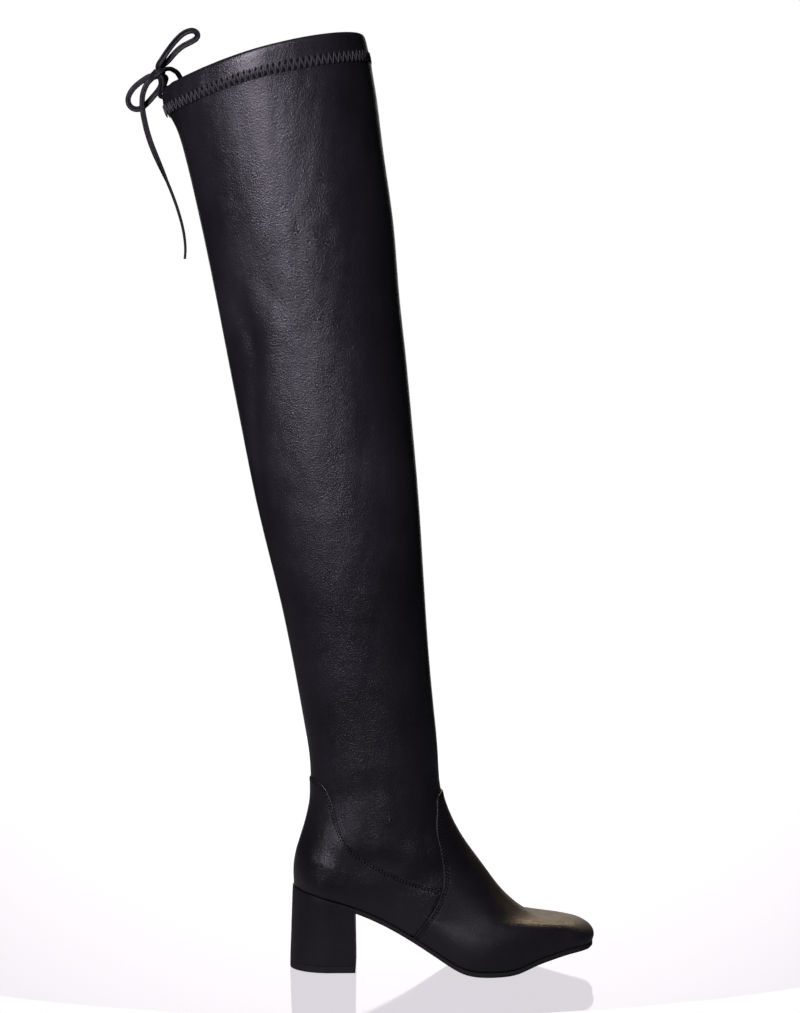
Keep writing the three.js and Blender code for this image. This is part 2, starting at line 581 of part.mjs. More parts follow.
// Heel: a block that follows the seat above and stands on the top piece.
function heel() {
  const base = TOP_PIECE_THICKNESS + GAP;
  const rings = Array.from({ length: HEEL_LEVELS + 1 }, (_, i) => {
    const share = i / HEEL_LEVELS;
    return heelRing(share, (x) => mix(base, featherZ(x) - GAP, share));
  });
  return skin(rings, false);
}

// Top piece: the flat wearing layer under the heel.
function topPiece() {
  return skin([heelRing(0, () => 0), heelRing(0, () => TOP_PIECE_THICKNESS)], false);
}

// Lace: a round cord along its route.
function lace(route) {
  const path = new THREE.CatmullRomCurve3(route.map((p) => new THREE.Vector3(...p)), false, "centripetal");
  const section = new THREE.Shape(
    Array.from({ length: LACE_SIDES }, (_, i) => {
      const angle = (2 * Math.PI * i) / LACE_SIDES;
      return new THREE.Vector2(Math.cos(angle), Math.sin(angle)).multiplyScalar(LACE_WIDTH / 2);
    }),
  );
  const steps = Math.ceil(path.getLength() / (LACE_STEP * LACE_WIDTH));
  return new THREE.ExtrudeGeometry(section, { steps, extrudePath: path, bevelEnabled: false });
}

// Knot of the bow
function knot() {
  const ball = new THREE.SphereGeometry(0.5, KNOT_SEGMENTS, KNOT_RINGS);
  ball.scale(KNOT.length, KNOT.width, KNOT.height);
  ball.translate(KNOT.x, KNOT.y, KNOT.z);
  return ball;
}

// Materials
const leather = new THREE.MeshStandardMaterial({ color: 0x1a191c, roughness: 0.45, metalness: 0 });
const heelCover = new THREE.MeshStandardMaterial({ color: 0x1b191b, roughness: 0.5, metalness: 0 });
const rubber = new THREE.MeshStandardMaterial({ color: 0x1c1c1c, roughness: 0.7, metalness: 0 });
const laceLeather = new THREE.MeshStandardMaterial({ color: 0x1f1e20, roughness: 0.55, metalness: 0 });
const sock = new THREE.MeshStandardMaterial({ color: 0x222124, roughness: 0.8, metalness: 0 });

function piece(name, geometry, material) {
  const mesh = new THREE.Mesh(geometry, material);
  mesh.name = name;
  return mesh;
}

const boot = new THREE.Group();
boot.add(
  piece("upper", upper(), leather),
  piece("vamp", vamp(), leather),
  piece("counter", counter(), leather),
  piece("insole", insole(), sock),
  piece("outsole", outsole(), rubber),
  piece("heel", heel(), heelCover),
  piece("heel_top_piece", topPiece(), rubber),
  piece("bow_knot", knot(), laceLeather),
  ...Object.entries(ROUTES).map(([name, route]) => piece(name, lace(route), laceLeather)),
);

export default boot;
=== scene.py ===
"""Looks of a right thigh high boot: black leather shaft and foot, vamp and counter overlays, stitched
collar hem with a tied drawstring, covered block heel and rubber bottom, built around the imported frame."""

import math

import bmesh
import bpy
import numpy as np
from mathutils import Matrix, Quaternion, Vector
from mathutils.bvhtree import BVHTree
from mathutils.kdtree import KDTree


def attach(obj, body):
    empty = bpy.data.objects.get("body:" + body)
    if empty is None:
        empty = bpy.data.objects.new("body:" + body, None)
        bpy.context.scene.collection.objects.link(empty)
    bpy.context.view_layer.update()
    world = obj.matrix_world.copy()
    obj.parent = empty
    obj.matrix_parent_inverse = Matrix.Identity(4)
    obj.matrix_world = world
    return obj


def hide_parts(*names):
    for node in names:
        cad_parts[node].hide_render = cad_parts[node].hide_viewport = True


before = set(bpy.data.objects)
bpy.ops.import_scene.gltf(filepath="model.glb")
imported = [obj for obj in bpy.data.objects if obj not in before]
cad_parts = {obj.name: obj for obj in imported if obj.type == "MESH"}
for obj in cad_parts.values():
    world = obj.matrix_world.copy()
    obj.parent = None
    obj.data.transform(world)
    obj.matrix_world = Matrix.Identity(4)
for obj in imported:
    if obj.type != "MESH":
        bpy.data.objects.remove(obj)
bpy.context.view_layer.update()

bl_info = {
    "name": "Thigh high boot",
    "version": (1, 0, 0),
    "blender": (4, 5, 0),
    "location": "3D View > Sidebar > Boot",
    "description": "Builds the leather, seams, bottom, drawstring and studio of a thigh high boot",
    "category": "Object",
}

MM = 0.001
NEAR = -1  # outer side of the boot, towards the camera
FAR = 1
UP = Vector((0, 0, 1))
LEATHER_FACE, LINING_FACE = 0, 1  # material numbers of the upper's two sides

# Seams in the side view, in mm from the middle of the heel, x forwards and z up
VAMP_SEAM = [
    (106.7, 148.7), (94.4, 144.2), (93.2, 131.4), (92.7, 116.3), (96.2, 99.7),
    (98.6, 83.1), (97.9, 71.0), (91.2, 54.4), (80.9, 39.3), (69.9, 24.2),
]
COUNTER_SEAM = [
    (-35.7, 157.8), (-9.9, 157.8), (1.2, 152.5), (8.0, 140.4), (12.7, 123.8),
    (20.8, 107.2), (34.3, 95.9), (52.7, 85.3), (72.3, 77.0), (99.4, 69.5),
]

# Lower edge of the collar's hem: its back point, its tilt and how far its sides arch up, in mm
HEM_BACK = Vector((-126.5, 0, 699))
HEM_TILT = math.radians(14.4)
HEM_MIDDLE = 83  # from the back point to the middle of the ring
HEM_ARCH = 4

# Soft folds of the leather: x, z, side, turn, long, wide and depth, placed in the side view in mm.
# side: NEAR or FAR. turn: degrees from upright, leaning forwards. long, wide: half sizes. depth: under 0 for a ridge.
FOLDS = [
    # dents above the knee, with a ridge, and the hollow at the knee
    (-44, 560, NEAR, 20, 22, 7, 1.1), (-36, 548, NEAR, -35, 14, 6, 0.7), (-52, 556, NEAR, 15, 20, 6, -0.6),
    (-60, 520, NEAR, 12, 45, 14, 1.5),
    # small crease below the knee, with its ridge
    (-22, 385, NEAR, 95, 20, 3, 0.6), (-22, 379, NEAR, 95, 22, 4, -0.4),
    # creases of the ankle, the instep and above the ankle, each with its ridge
    (52, 92, NEAR, 100, 26, 6, 0.9), (50, 100, NEAR, 100, 28, 7, -0.7),
    (84, 80, NEAR, 60, 20, 6, 0.8), (78, 92, NEAR, 55, 22, 8, -0.8),
    (40, 150, NEAR, 80, 30, 9, 0.8), (42, 168, NEAR, 82, 34, 10, -0.6),
    # far side: ankle crease with its ridge, hollows of knee and calf
    (46, 100, FAR, 95, 28, 7, 1.0), (44, 112, FAR, 95, 28, 8, -0.7),
    (-40, 520, FAR, 10, 50, 16, 1.6), (0, 330, FAR, 8, 60, 12, 1.2),
    # ripples of the thigh
    (-60, 640, NEAR, 8, 40, 9, 0.7), (-20, 655, NEAR, 6, 36, 10, 0.6),
]

# The long fold behind the calf, as (x, z) on the near side, in mm
LONG_FOLD = [
    (-71, 556), (-62.3, 530), (-54.4, 510), (-52.9, 491), (-53.8, 463), (-53.1, 433), (-50, 401), (-45.2, 369),
    (-38.5, 338), (-29, 306),
]
LONG_FOLD_DEPTH, LONG_FOLD_WIDTH = 2.2, 5.5

# Gathers of the collar's hem at the back: degrees from the back towards the far side, mm above the hem's edge,
# half length, half width and depth in mm
HEM_PUCKERS = [
    (-52, 3, 14, 3.2, 0.5), (-37, 2, 15, 3.0, 0.7), (-24, 2, 15, 2.8, 0.9), (-12, 3, 13, 2.6, 1.0),
    (0, 4, 14, 2.8, 0.8), (10, 2, 14, 2.6, 0.8), (21, 4, 14, 2.8, 1.0), (34, 3, 15, 3.0, 0.7), (50, 2, 14, 3.2, 0.5),
]

# Routes of the drawstring, the same points as the part's source, in mm
STRAND_NEAR = [
    (-124.8, -8.7, 709.1), (-126.9, -9.5, 709.2), (-129, -10.5, 710), (-129.4, -10.9, 712.4),
    (-128.7, -10.2, 715.6), (-127.9, -8.6, 719.4), (-128.2, -6.8, 722.6), (-129, -5.3, 724.9),
]
STRAND_FAR = [
    (-117.6, 23.5, 711), (-120.6, 25.9, 711.2), (-122.4, 26.4, 712.9), (-123.9, 24, 714.9),
    (-125.7, 19.8, 716.9), (-127.4, 15, 718.9), (-127.9, 10.5, 721.4), (-126.6, 6.5, 724.2),
    (-125.9, 2.9, 726), (-127.4, 1.2, 727.1),
]
LOOP_UPPER = [
    (-131.2, -4.6, 733.7), (-130.6, -5.3, 735.9), (-128, -4.8, 740), (-124, -4, 746.2),
    (-119.8, -3.4, 751.9), (-115.6, -3, 756.7), (-111.5, -3, 760.3), (-107.4, -3, 762.4),
    (-103.6, -3, 763), (-100.8, -2.6, 761.8), (-99.6, -2, 759.4), (-100.9, -1.2, 756.9),
    (-104, -0.6, 754.9), (-107.6, -0.4, 753.1), (-111.6, -0.4, 751), (-115.4, -0.3, 748.2),
    (-119.4, 0, 744.2), (-123, 0.9, 740.2), (-126.4, 1.8, 737.2), (-129.2, 2.3, 735.4),
    (-130.6, 1.1, 733.2),
]
LOOP_LOWER = [
    (-137.1, -1.4, 727), (-139.6, -1.1, 726.2), (-143.4, -0.8, 724), (-147.6, -0.6, 721),
    (-151.6, -0.4, 717.4), (-154.5, -0.2, 713.4), (-156.1, 0, 709.2), (-155.8, 0.2, 705.2),
    (-153.5, 0.4, 702), (-149.8, 0.5, 700.6), (-145.9, 0.6, 701.4), (-142, 0.7, 704.4),
    (-138.3, 0.8, 708.2), (-134.6, 0.9, 712.4), (-131.4, 1, 716.4), (-129.6, 0.9, 719.9),
    (-129.4, 0.2, 723.1),
]
END_NEAR = [
    (-135.1, -5.1, 725.7), (-137.2, -6.6, 723.6), (-139.8, -7.2, 720.6), (-142.2, -7, 716),
    (-143.8, -6.6, 710.6), (-144.2, -6.2, 704.6), (-143.8, -5.8, 698.6), (-142.4, -5.4, 690.6),
    (-140.4, -5, 682), (-137.8, -4.7, 673.6), (-134.7, -4.4, 665.4), (-131.2, -4.2, 657.2),
    (-127.6, -4, 649), (-124.1, -3.8, 640.8), (-120.8, -3.6, 632.6), (-117.8, -3.4, 624.4),
    (-115.2, -3.3, 616.2), (-113, -3.2, 608.2), (-111.4, -3.1, 600.2), (-110.5, -3, 592.8),
    (-110.3, -3, 586.2), (-110.8, -3, 580),
]
END_FAR = [
    (-126.9, -1.1, 731.7), (-124.9, 0.2, 732.8), (-122, 3.6, 733.2), (-119.4, 9, 732.4),
    (-117.6, 15, 731.2), (-116.4, 21, 729.2), (-115.8, 26, 727.4), (-115.6, 31, 724.8),
    (-115, 34.2, 719.6), (-113.4, 34.6, 712.5), (-111.2, 36.2, 705.4), (-107.4, 36.8, 699.6),
    (-104.2, 36, 693.6), (-102.4, 36.2, 687), (-99.6, 37, 679.5), (-96.8, 37.2, 669.7),
    (-93.6, 38.2, 659.6), (-90.4, 38.3, 647.6), (-87.5, 38.3, 635.6), (-84.5, 38.3, 623.6),
    (-81.5, 38.3, 611.6), (-79.4, 37.9, 600), (-77, 37.9, 589.6), (-75.8, 37.4, 581),
]
KNOT = Vector((-131.5, -2, 728.5)) * MM


# Small tools

def mm(points):
    """Points in mm as vectors in metres."""
    return [Vector(p) * MM for p in points]


def smooth_line(points, step):
    """A smooth curve through the points, in steps of an even length."""
    fine = []
    for i in range(len(points) - 1):
        a, b, c, d = (points[min(max(k, 0), len(points) - 1)] for k in (i - 1, i, i + 1, i + 2))
        for k in range(16):
            t = k / 16
            fine.append(
                0.5 * (2 * b + (c - a) * t + (2 * a - 5 * b + 4 * c - d) * t**2 + (3 * b - a - 3 * c + d) * t**3)
            )
    fine.append(points[-1])
    return even_steps(fine, step)


def even_steps(points, step):
    """The same line with points an even length apart."""
    place = np.array([tuple(p) for p in points])
    run = np.concatenate([[0], np.cumsum(np.linalg.norm(np.diff(place, axis=0), axis=1))])
    count = max(2, round(run[-1] / step) + 1)
    at = np.linspace(0, run[-1], count)
    return [Vector(p) for p in np.column_stack([np.interp(at, run, place[:, k]) for k in range(place.shape[1])])]


def mesh_of(bm, name):
    """Turns a bmesh into a mesh and frees it."""
    mesh = bpy.data.meshes.new(name)
    bm.to_mesh(mesh)
    bm.free()
    return mesh


def bmesh_of(mesh):
    bm = bmesh.new()
    bm.from_mesh(mesh)
    return bm


def object_of(data, name):
    """A new object in the scene."""
    made = bpy.data.objects.new(name, data)
    bpy.context.scene.collection.objects.link(made)
    return made


def add_piece(mesh, name, materials, nodes=()):
    """Turns a mesh or a bmesh into a piece that rides on the boot and stands for CAD nodes."""
    if isinstance(mesh, bmesh.types.BMesh):
        mesh = mesh_of(mesh, name)
    mesh.name = name
    piece = object_of(mesh, name)
    indices = np.empty(len(mesh.polygons), dtype=np.int32)
    mesh.polygons.foreach_get("material_index", indices)
    mesh.materials.clear()
    for material in materials:
        mesh.materials.append(material)
    mesh.polygons.foreach_set("material_index", np.minimum(indices, len(materials) - 1))
    mesh.polygons.foreach_set("use_smooth", [True] * len(mesh.polygons))
    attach(piece, "root")
    if nodes:
        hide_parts(*nodes)
    return piece


def evaluated(made):
    return made.evaluated_get(bpy.context.evaluated_depsgraph_get())


def baked(work):
    """The mesh that an object's modifiers give. The object and its own mesh are removed."""
    made, mesh = bpy.data.meshes.new_from_object(evaluated(work)), work.data
    bpy.data.objects.remove(work)
    bpy.data.meshes.remove(mesh)
    return made


def places(mesh):
    found = np.empty(len(mesh.vertices) * 3)
    mesh.vertices.foreach_get("co", found)
    return found.reshape(-1, 3)


def smooth_surface(bm, name, levels=2, rounds=3):
    """A bmesh of the subdivision surface that passes through the points of bm."""
    mesh = mesh_of(bm, name)
    cage = object_of(mesh, name)
    smooth = cage.modifiers.new("smooth", "SUBSURF")
    smooth.levels = smooth.render_levels = 1
    aim = places(mesh)
    cage_places = aim.copy()
    for _ in range(rounds):
        cage_places += aim - places(evaluated(cage).data)[: len(aim)]
        mesh.vertices.foreach_set("co", cage_places.ravel())
        mesh.update()
    smooth.levels = smooth.render_levels = levels
    mesh = baked(cage)
    bm = bmesh_of(mesh)
    bpy.data.meshes.remove(mesh)
    return bm


def kd_tree(points):
    tree = KDTree(len(points))
    for i, p in enumerate(points):
        tree.insert(p, i)
    tree.balance()
    return tree


def cad_copy(node):
    """A merged copy of a CAD node's mesh."""
    bm = bmesh_of(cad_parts[node].data)
    bmesh.ops.remove_doubles(bm, verts=bm.verts, dist=1e-6)
    return bm


def four_sided(bm, start):
    """Turns a grid of triangles back into its four-sided faces, from one face whose longest edge is a diagonal."""
    edges = [loop.edge for loop in start.loops]
    longest = max(range(3), key=lambda i: edges[i].calc_length())
    kind = {edges[(longest + i) % 3]: i for i in range(3)}
    seen, todo = {start}, [start]
    while todo:
        for loop in todo.pop().loops:
            other = loop.link_loop_radial_next
            if other.face in seen or len(other.face.verts) != 3:
                continue
            first = other.link_loop_next
            for i, edge in enumerate((first.edge, first.link_loop_next.edge)):
                kind.setdefault(edge, (kind[loop.edge] + 1 + i) % 3)
            seen.add(other.face)
            todo.append(other.face)
    bmesh.ops.dissolve_edges(bm, edges=[edge for edge, k in kind.items() if k == 0], use_verts=False)


def settle(bm):
    """Lists the faces by their vertices, because some mesh operations list them in another order each run."""
    bm.verts.index_update()
    order = sorted(bm.faces, key=lambda f: sorted(v.index for v in f.verts))
    bm.faces.sort(key={face: i for i, face in enumerate(order)}.get)


def ring_edges(bm, ring):
    return [bm.edges.get(pair) for pair in zip(ring, ring[1:] + ring[:1])]


def carried(stations, outline, ends=True):
    """A bmesh of an outline, as pairs of numbers, carried along stations of (point, across, out) vectors."""
    bm = bmesh.new()
    ring = bmesh.ops.create_circle(bm, segments=len(outline), radius=1)["verts"]
    first = list(ring)
    for number, (point, across, out) in enumerate(stations):
        if number:
            made = bmesh.ops.extrude_edge_only(bm, edges=ring_edges(bm, ring))["geom"]
            new = {v for v in made if isinstance(v, bmesh.types.BMVert)}
            ring = [next(e.other_vert(v) for e in v.link_edges if e.other_vert(v) in new) for v in ring]
        for v, (a, o) in zip(ring, outline):
            v.co = point + across * a + out * o
    if ends:
        bmesh.ops.contextual_create(bm, geom=first)
        bmesh.ops.contextual_create(bm, geom=ring)
    else:
        bmesh.ops.bridge_loops(bm, edges=ring_edges(bm, first) + ring_edges(bm, ring))
    bmesh.ops.recalc_face_normals(bm, faces=bm.faces)
    settle(bm)
    return bm


# Materials

def fill(tree, node, values=(), links=()):
    """Sets a node's fixed inputs and links the outputs that go into its other ones."""
    for name, value in dict(values).items():
        node.inputs[name].default_value = value
    for name, source in dict(links).items():
        if source is not None:
            tree.links.new(source, node.inputs[name])


def new_node(tree, kind, values=(), links=(), **settings):
    node = tree.nodes.new("ShaderNode" + kind)
    for name, value in settings.items():
        setattr(node, name, value)
    fill(tree, node, values, links)
    return node


def new_material(name, values):
    """A material with its surface shader's fixed values set, and its node tree."""
    material = bpy.data.materials.new(name)
    material.use_nodes = True
    tree = material.node_tree
    fill(tree, tree.nodes["Principled BSDF"], values)
    return material, tree


def finished(material, normal, rough, tint):
    """Links what the normal, the roughness and the colour of a material's surface follow."""
    tree = material.node_tree
    fill(tree, tree.nodes["Principled BSDF"], links={"Normal": normal, "Roughness": rough, "Base Color": tint})
    return material


def texture(tree, kind, place, **values):
    """A texture's number at a place, which is the distance to a cell's middle for a Voronoi."""
    node = new_node(tree, "Tex" + kind, values, {"Vector": place})
    return node.outputs["Distance" if kind == "Voronoi" else "Fac"]


def ramp(tree, source, low, high, from_low=0.3, from_high=0.7):
    """A number between low and high that follows source."""
    values = {"From Min": from_low, "From Max": from_high, "To Min": low, "To Max": high}
    return new_node(tree, "MapRange", values, {"Value": source}).outputs["Result"]


def colours(tree, source, low, high):
    """A colour between low and high that follows source."""
    values = {"A": (*low, 1), "B": (*high, 1)}
    return new_node(tree, "Mix", values, {"Factor": source}, data_type="RGBA").outputs["Result"]


def tinted(tree, source, colour, lighter, more=0):
    """A colour that gets lighter with source: by a factor, and by a little more."""
    return colours(tree, source, tuple(colour), [c * lighter + more for c in colour])


def bump(tree, height, depth, under=None, strength=1.0):
    values = {"Strength": strength, "Distance": depth}
    return new_node(tree, "Bump", values, {"Height": height, "Normal": under}).outputs["Normal"]


def object_place(tree, scale=(1, 1, 1)):
    """Object coordinates, stretched by a scale."""
    source = new_node(tree, "TexCoord").outputs["Object"]
    return new_node(tree, "Mapping", {"Scale": scale}, {"Vector": source}).outputs["Vector"]


def leather_material(name, look, wrinkle=1.0, gloss=0.0):
    """Smooth black leather: pores, fine grain, soft wrinkles and an uneven satin finish."""
    values = {"Specular IOR Level": 0.5 + gloss, "Coat Weight": max(0, look.coat + gloss), "Coat Roughness": 0.27}
    material, tree = new_material(name, values)
    place = object_place(tree)
    pebbles = texture(tree, "Voronoi", place, Scale=1000 / look.grain_size, Randomness=1.0)
    grain = texture(tree, "Noise", place, Scale=620 / look.grain_size, Detail=4.0, Roughness=0.7)
    wrinkles = texture(tree, "Noise", place, Scale=120.0, Detail=4.0, Roughness=0.5)
    waves = texture(tree, "Noise", object_place(tree, (1, 1, 0.4)), Scale=34.0, Detail=2.0)
    patches = texture(tree, "Noise", place, Scale=14.0, Detail=3.0)
    normal = bump(tree, waves, 0.002 * wrinkle)
    normal = bump(tree, wrinkles, 0.0002 * wrinkle, normal)
    normal = bump(tree, grain, 0.00036, normal, 0.8)
    normal = bump(tree, pebbles, 0.00022, normal, 0.8)
    rough = ramp(tree, patches, look.roughness - 0.05 - gloss, look.roughness + 0.06 - gloss)
    uneven = ramp(tree, wrinkles, -0.04, 0.05)
    mixed = new_node(tree, "Math", links={0: rough, 1: uneven}, operation="ADD").outputs["Value"]
    tint = tinted(tree, ramp(tree, patches, 0, 1), look.colour, 1.7, 0.001)
    return finished(material, normal, mixed, tint)


def painted_shade_material(name, shade=1):
    """Painted shade for a stitch's hollow: a rough, nearly black patch without shine, laid where leather is pressed
    in beside a stitch.
    """
    material, tree = new_material(name, {"Specular IOR Level": 0.04, "Roughness": 0.95})
    specks = texture(tree, "Noise", object_place(tree), Scale=1800.0, Detail=2.0)
    tint = colours(tree, specks, [0.001 * shade] * 3, [0.004 * shade] * 3)
    return finished(material, bump(tree, specks, 0.0001), None, tint)


def thread_material(name, colour, shine=0.35):
    """Twisted thread: a fine slant of its plies."""
    material, tree = new_material(name, {"Specular IOR Level": shine, "Sheen Weight": 0.15})
    place = object_place(tree)
    plies = texture(tree, "Wave", place, Scale=900.0, Distortion=1.0)
    fuzz = texture(tree, "Noise", place, Scale=3000.0, Detail=2.0)
    normal = bump(tree, fuzz, 0.00008, bump(tree, plies, 0.0001))
    rough = ramp(tree, fuzz, 0.8 - shine * 0.6, 0.95 - shine * 0.6)
    return finished(material, normal, rough, tinted(tree, plies, colour, 1.8))


def rubber_material(name, colour, tread):
    """Matt rubber with faint moulding marks, dust and, below, a fine tread."""
    material, tree = new_material(name, {"Specular IOR Level": 0.4})
    place = object_place(tree)
    speckle = texture(tree, "Noise", place, Scale=1400.0, Detail=3.0)
    marks = texture(tree, "Noise", place, Scale=60.0, Detail=4.0)
    lines = texture(tree, "Wave", place, Scale=tread, Distortion=0.4)
    normal = bump(tree, speckle, 0.00012, bump(tree, lines, 0.0002, None, 0.5))
    tint = tinted(tree, ramp(tree, marks, 0, 0.8), colour, 2.2, 0.004)
    return finished(material, normal, ramp(tree, marks, 0.5, 0.72), tint)


def lining_material(name, colour):
    """Short-napped knit on the inside of the boot."""
    values = {"Specular IOR Level": 0.2, "Sheen Weight": 0.35, "Sheen Roughness": 0.5}
    material, tree = new_material(name, values)
    place = object_place(tree)
    ribs = texture(tree, "Wave", object_place(tree, (1, 1, 0.05)), Scale=420.0, Distortion=0.6)
    loops = texture(tree, "Voronoi", place, Scale=1300.0)
    nap = texture(tree, "Noise", place, Scale=220.0, Detail=4.0)
    normal = bump(tree, loops, 0.0003, bump(tree, ribs, 0.00025))
    return finished(material, normal, ramp(tree, nap, 0.8, 0.98), tinted(tree, nap, colour, 1.6))


def string_material(name, look):
    """Folded leather string: fine grain, wear and a soft shine."""
    values = {"Coat Weight": 0.03, "Coat Roughness": 0.35, "Specular IOR Level": 0.2}
    material, tree = new_material(name, values)
    place = object_place(tree)
    grain = texture(tree, "Voronoi", place, Scale=1500.0)
    wear = texture(tree, "Noise", place, Scale=260.0, Detail=4.0)
    normal = bump(tree, grain, 0.00012, bump(tree, wear, 0.0007))
    return finished(material, normal, ramp(tree, wear, 0.42, 0.66), tinted(tree, wear, look.colour, 1.8))


def floor_material(name, brightness, mirror):
    """Pale floor that mirrors a little of what stands on it. It glows for the camera more than for the boot."""
    material = bpy.data.materials.new(name)
    material.use_nodes = True
    tree = material.node_tree
    tree.nodes.clear()
    matt = new_node(tree, "BsdfDiffuse", {"Color": (0.82, 0.82, 0.83, 1)})
    rays = new_node(tree, "LightPath").outputs["Is Camera Ray"]
    seen = ramp(tree, rays, 0.22 * brightness, brightness)
    glow = new_node(tree, "Emission", {"Color": (1.02, 0.98, 1.045, 1)}, {"Strength": seen})
    gloss = new_node(tree, "BsdfGlossy", {"Color": (0.98, 0.96, 1.0, 1), "Roughness": 0.06})
    both = new_node(tree, "AddShader", links={0: matt.outputs[0], 1: glow.outputs[0]})
    mixed = new_node(tree, "MixShader", {"Fac": mirror}, {1: both.outputs[0], 2: gloss.outputs[0]})
    new_node(tree, "OutputMaterial", links={"Surface": mixed.outputs[0]})
    return material


def material_of(name, make, *details):
    """The named material, made the first time that it is asked for."""
    return bpy.data.materials.get(name) or make(name, *details)


# Sizes and finishes that a user would change

def colour_of(name, description, default):
    return bpy.props.FloatVectorProperty(
        name=name, description=description, subtype="COLOR", size=3, min=0, max=1, default=default
    )


def number_of(name, description, default, low, high, subtype="NONE", unit="NONE"):
    return bpy.props.FloatProperty(
        name=name, description=description, subtype=subtype, unit=unit, min=low, max=high, default=default
    )


def share_of(name, description, default, low=0, high=1):
    return number_of(name, description, default, low, high, "FACTOR")


def metres(name, description, default, low, high):
    return number_of(name, description, default, low, high, "DISTANCE", "LENGTH")


class BootLeather(bpy.types.PropertyGroup):
    colour: colour_of("Colour", "Colour of the leather", (0.0105, 0.0098, 0.0122))
    roughness: share_of("Roughness", "How matt the leather is", 0.34, 0.1)
    coat: share_of("Finish", "Strength of the clear finish on the leather", 0.16)
    grain_size: number_of("Grain size", "Size of one pebble of the grain, in mm", 1.1, 0.4, 4)
    fold_depth: share_of("Fold depth", "How deep the soft folds are, against those of the boot", 1.0, 0, 3)


class BootOverlay(bpy.types.PropertyGroup):
    height: metres("Height", "How far the vamp and counter stand out", 0.0009, 0.0005, 0.002)
    stitch_length: metres("Stitch length", "Length of one stitch with its gap", 0.0027, 0.001, 0.006)
    thread: colour_of("Thread", "Colour of the thread", (0.012, 0.0115, 0.013))


class BootHem(bpy.types.PropertyGroup):
    stitch_pitch: metres("Zigzag pitch", "One full zigzag of the hem's stitch", 0.0048, 0.002, 0.01)
    stitch_height: metres("Zigzag height", "How high the zigzag stands", 0.0090, 0.002, 0.015)
    thread_width: metres("Thread width", "Thickness of the zigzag's thread", 0.0009, 0.0005, 0.002)
    thread: colour_of("Thread", "Colour of the zigzag's thread", (0.026, 0.025, 0.028))


class BootDrawstring(bpy.types.PropertyGroup):
    width: metres("Width", "Width of the folded leather string", 0.0047, 0.002, 0.006)
    thickness: metres("Thickness", "Thickness of the folded leather string", 0.0020, 0.001, 0.003)
    colour: colour_of("Colour", "Colour of the string", (0.0065, 0.006, 0.0075))


class BootBottom(bpy.types.PropertyGroup):
    rubber: colour_of("Rubber", "Colour of the sole and top piece", (0.012, 0.0118, 0.0115))
    edge_round: metres("Edge rounding", "Rounding of the bottom pieces' edges", 0.0007, 0.0002, 0.0015)
    lining: colour_of("Lining", "Colour of the lining and the sock", (0.016, 0.015, 0.017))


class BootStudio(bpy.types.PropertyGroup):
    floor_radius: metres("Floor radius", "Radius of the pale floor", 0.7, 0.5, 5)
    mirror: share_of("Mirror", "How much the floor mirrors the boot", 0.31)
    softbox: number_of("Softbox", "Power of the tall softbox", 5.0, 0, 500, "POWER", "POWER")
    lens: number_of("Lens", "Focal length of the camera in mm", 87.3, 20, 300, "DISTANCE_CAMERA")


# Pieces

STRING_SHAPE = [  # half outline of the folded string, as shares of its half width and half thickness
    (1.0, 0.0), (0.96, 0.55), (0.82, 0.92), (0.6, 1.0), (0.35, 0.9), (0.13, 0.74), (0.0, 0.62),
    (-0.13, 0.74), (-0.35, 0.9), (-0.6, 1.0), (-0.82, 0.92), (-0.96, 0.55),
]
STRING_OUTLINE = STRING_SHAPE + [(-a, -o) for a, o in STRING_SHAPE]


def string_piece(name, route, turns, look, shapes, nodes):
    """A folded string along a route. turns: (share of the length, degrees from facing the side).
    shapes: (share, width, thickness) against the string's own."""
    line = smooth_line(route, 0.0012)
    share = np.linspace(0, 1, len(line))
    at, degrees = zip(*turns)
    turn = np.radians(np.interp(share, at, degrees))
    at, widths, depths = zip(*shapes)
    wide = np.interp(share, at, widths) * look.width / 2
    thick = np.interp(share, at, depths) * look.thickness / 2
    stations = []
    across = Vector((0, 0, 1))
    for i, point in enumerate(line):
        along = (line[min(i + 1, len(line) - 1)] - line[max(i - 1, 0)]).normalized()
        flat = along.cross(Vector((0, -1, 0)))
        if flat.length > 0.15:
            across = flat.normalized()
        across = (across - along * across.dot(along)).normalized()
        turned = Quaternion(along, turn[i]) @ across
        stations.append((point, turned * wide[i], along.cross(turned).normalized() * thick[i]))
    leather = material_of("drawstring_leather", string_material, look)
    return add_piece(carried(stations, STRING_OUTLINE), name, [leather], nodes), line


def at_knot(*offsets):
    """Points inside the knot, given in mm from its middle."""
    return [KNOT + offset for offset in mm(offsets)]


